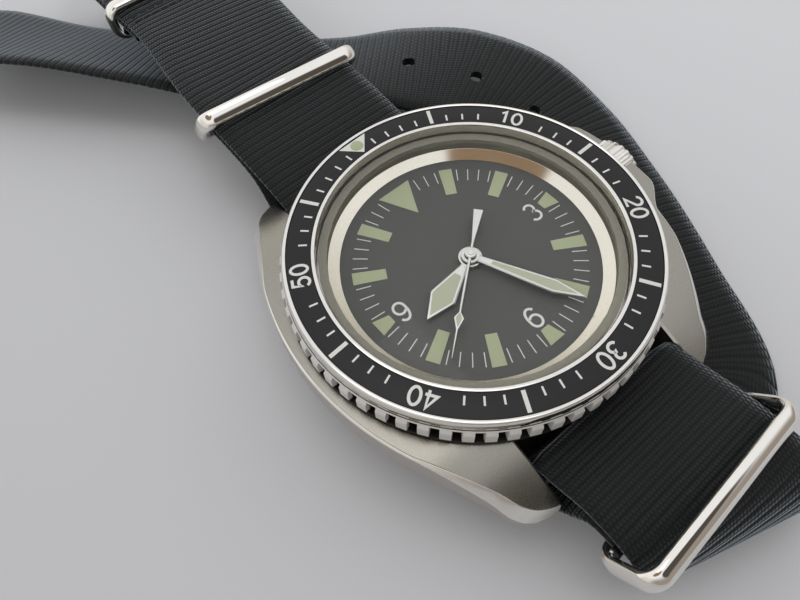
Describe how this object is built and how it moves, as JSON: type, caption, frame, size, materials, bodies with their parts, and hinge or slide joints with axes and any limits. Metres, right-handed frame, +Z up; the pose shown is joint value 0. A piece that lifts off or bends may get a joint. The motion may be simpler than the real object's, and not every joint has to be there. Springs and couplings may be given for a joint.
{
  "type": "dive watch",
  "caption": "Automatic dive watch with a toothed turning bezel, fluted crown, three hands and a nylon pull-through strap with steel keepers and a pin buckle.",
  "frame": {"origin": "on the underside of the strap's short layer, below the middle of the dial: the face that lies on the wrist", "axes": "+X to 3 o'clock and the crown, +Y to 12 o'clock and the buckle, +Z up out of the dial"},
  "size_m": [0.0724, 0.1311, 0.0167],
  "materials": {
    "brushed_steel": "brushed stainless steel",
    "polished_steel": "polished stainless steel",
    "black_insert": "black anodised, gloss",
    "lume": "pale green luminous paint",
    "crystal_glass": "clear, polished",
    "crystal_seal": "natural nylon",
    "seal_rubber": "matt black",
    "dial_black": "matt black lacquer",
    "hand_steel": "polished",
    "gilt_brass": "gilt",
    "movement_nickel": "nickel plated",
    "blued_spring": "blued spring steel",
    "woven_nylon": "ribbed woven nylon"
  },
  "bodies": {
    "watch": {"mid_case": "brushed_steel", "case_back": "brushed_steel", "lug_bar_12": "polished_steel", "lug_bar_6": "polished_steel", "rehaut_ring": "polished_steel", "crown_tube": "polished_steel", "keeper_end": "polished_steel", "keeper_middle": "polished_steel", "keeper_buckle": "polished_steel", "crystal": "crystal_glass", "crystal_gasket": "crystal_seal", "case_back_gasket": "seal_rubber", "dial": "dial_black", "bezel_click_spring": "movement_nickel", "bezel_holding_wire": "movement_nickel", "barrel_bridge": "movement_nickel", "train_bridge": "movement_nickel", "balance_cock": "movement_nickel", "main_plate": "movement_nickel", "movement_ring": "movement_nickel", "automatic_bridge": "movement_nickel", "barrel_bridge_screw": "blued_spring", "train_bridge_screw": "blued_spring", "balance_cock_screw": "blued_spring", "main_strap": "woven_nylon", "strap_flap": "woven_nylon"},
    "bezel": {"bezel": "brushed_steel", "bezel_insert": "black_insert", "bezel_pip": "lume"},
    "crown_seal": {"crown_gasket": "seal_rubber"},
    "crown": {"crown": "polished_steel", "winding_stem": "movement_nickel"},
    "winding_pinion": {"winding_pinion": "movement_nickel"},
    "crown_wheel": {"crown_wheel": "movement_nickel"},
    "ratchet": {"ratchet_wheel": "movement_nickel", "barrel_arbor": "movement_nickel"},
    "click": {"ratchet_click": "blued_spring"},
    "barrel": {"barrel_drum": "gilt_brass", "barrel_cover": "gilt_brass", "mainspring": "blued_spring"},
    "second": {"second_wheel": "gilt_brass"},
    "third": {"third_wheel": "gilt_brass"},
    "fourth": {"fourth_wheel": "gilt_brass", "seconds_hand": "hand_steel"},
    "escape": {"escape_wheel": "gilt_brass"},
    "pallets": {"pallet_fork": "movement_nickel"},
    "balance": {"balance_wheel": "gilt_brass", "hairspring": "blued_spring"},
    "minute_wheel": {"minute_wheel": "gilt_brass"},
    "minute": {"cannon_pinion": "gilt_brass", "minute_hand": "hand_steel"},
    "hour": {"hour_wheel": "gilt_brass", "hour_hand": "hand_steel"},
    "rotor": {"rotor": "movement_nickel", "rotor_screw": "blued_spring"},
    "reverser": {"reversing_wheel": "gilt_brass"},
    "buckle": {"buckle_frame": "polished_steel", "buckle_bar": "polished_steel"},
    "tongue": {"buckle_tongue": "polished_steel"}
  },
  "joints": [
    {"name": "bezel_turn", "type": "hinge", "parent": "watch", "child": "bezel", "pos_m": [0, 0, 0.013], "axis": [0, 0, -1], "continuous": true},
    {"name": "crown_pull", "type": "slide", "parent": "watch", "child": "crown_seal", "axis": [1, 0, 0], "range_m": [0, 0.0018]},
    {"name": "crown_turn", "type": "hinge", "parent": "crown_seal", "child": "crown", "pos_m": [0.02, 0, 0.00766], "axis": [1, 0, 0], "continuous": true},
    {"name": "winding_pinion_turn", "type": "hinge", "parent": "watch", "child": "winding_pinion", "pos_m": [0.0078, 0, 0.00766], "axis": [1, 0, 0], "continuous": true},
    {"name": "crown_wheel_turn", "type": "hinge", "parent": "watch", "child": "crown_wheel", "pos_m": [0.00578, 0, 0.0064], "axis": [0, 0, 1], "continuous": true},
    {"name": "ratchet_turn", "type": "hinge", "parent": "watch", "child": "ratchet", "pos_m": [0.0042, 0.0062, 0.0064], "axis": [0, 0, 1], "continuous": true},
    {"name": "click_turn", "type": "hinge", "parent": "watch", "child": "click", "pos_m": [-0.00062, 0.00898, 0.0064], "axis": [0, 0, 1], "range_deg": [0, 8]},
    {"name": "seconds_turn", "type": "hinge", "parent": "watch", "child": "fourth", "pos_m": [0, 0, 0.009], "axis": [0, 0, -1], "continuous": true},
    {"name": "third_turn", "type": "hinge", "parent": "watch", "child": "third", "pos_m": [-0.00257, 0.00209, 0.008], "axis": [0, 0, -1], "continuous": true},
    {"name": "second_turn", "type": "hinge", "parent": "watch", "child": "second", "pos_m": [-0.00095, 0.0052, 0.008], "axis": [0, 0, -1], "continuous": true},
    {"name": "barrel_turn", "type": "hinge", "parent": "watch", "child": "barrel", "pos_m": [0.0042, 0.0062, 0.008], "axis": [0, 0, -1], "continuous": true},
    {"name": "escape_turn", "type": "hinge", "parent": "watch", "child": "escape", "pos_m": [-0.0017, -0.00243, 0.008], "axis": [0, 0, -1], "continuous": true},
    {"name": "minute_wheel_turn", "type": "hinge", "parent": "watch", "child": "minute_wheel", "pos_m": [0.00091, 0.00286, 0.01], "axis": [0, 0, -1], "continuous": true},
    {"name": "minute_turn", "type": "hinge", "parent": "watch", "child": "minute", "pos_m": [0, 0, 0.011], "axis": [0, 0, -1], "continuous": true},
    {"name": "hour_turn", "type": "hinge", "parent": "watch", "child": "hour", "pos_m": [0, 0, 0.0105], "axis": [0, 0, -1], "continuous": true},
    {"name": "pallet_rock", "type": "hinge", "parent": "watch", "child": "pallets", "pos_m": [-0.00284, -0.00488, 0.008], "axis": [0, 0, -1], "range_deg": [-6, 6]},
    {"name": "balance_swing", "type": "hinge", "parent": "watch", "child": "balance", "pos_m": [-0.00445, -0.00832, 0.008], "axis": [0, 0, -1], "range_deg": [-270, 270], "stiffness_Nm_per_rad": 0.0000002},
    {"name": "rotor_turn", "type": "hinge", "parent": "watch", "child": "rotor", "pos_m": [0, 0, 0.005], "axis": [0, 0, -1], "continuous": true},
    {"name": "reverser_turn", "type": "hinge", "parent": "watch", "child": "reverser", "pos_m": [-0.00296, -0.00108, 0.0064], "axis": [0, 0, -1], "continuous": true},
    {"name": "buckle_swing", "type": "hinge", "parent": "watch", "child": "buckle", "pos_m": [0.0018, 0.08, 0.0066], "axis": [1, 0, 0], "range_deg": [-15, 45]},
    {"name": "tongue_swing", "type": "hinge", "parent": "buckle", "child": "tongue", "pos_m": [0.0018, 0.08, 0.0066], "axis": [1, 0, 0], "range_deg": [0, 50]}
  ],
  "couplings": [
    {"joint": "winding_pinion_turn", "follows": "crown_turn", "ratio": 1},
    {"joint": "crown_wheel_turn", "follows": "crown_turn", "ratio": 0.66667},
    {"joint": "ratchet_turn", "follows": "crown_turn", "ratio": -0.4},
    {"joint": "third_turn", "follows": "seconds_turn", "ratio": -0.13333},
    {"joint": "second_turn", "follows": "seconds_turn", "ratio": 0.016667},
    {"joint": "barrel_turn", "follows": "seconds_turn", "ratio": -0.0027778},
    {"joint": "escape_turn", "follows": "seconds_turn", "ratio": -10},
    {"joint": "minute_wheel_turn", "follows": "seconds_turn", "ratio": -0.0055556},
    {"joint": "minute_turn", "follows": "seconds_turn", "ratio": 0.016667},
    {"joint": "hour_turn", "follows": "seconds_turn", "ratio": 0.0013889},
    {"joint": "reverser_turn", "follows": "rotor_turn", "ratio": -0.66667}
  ]
}
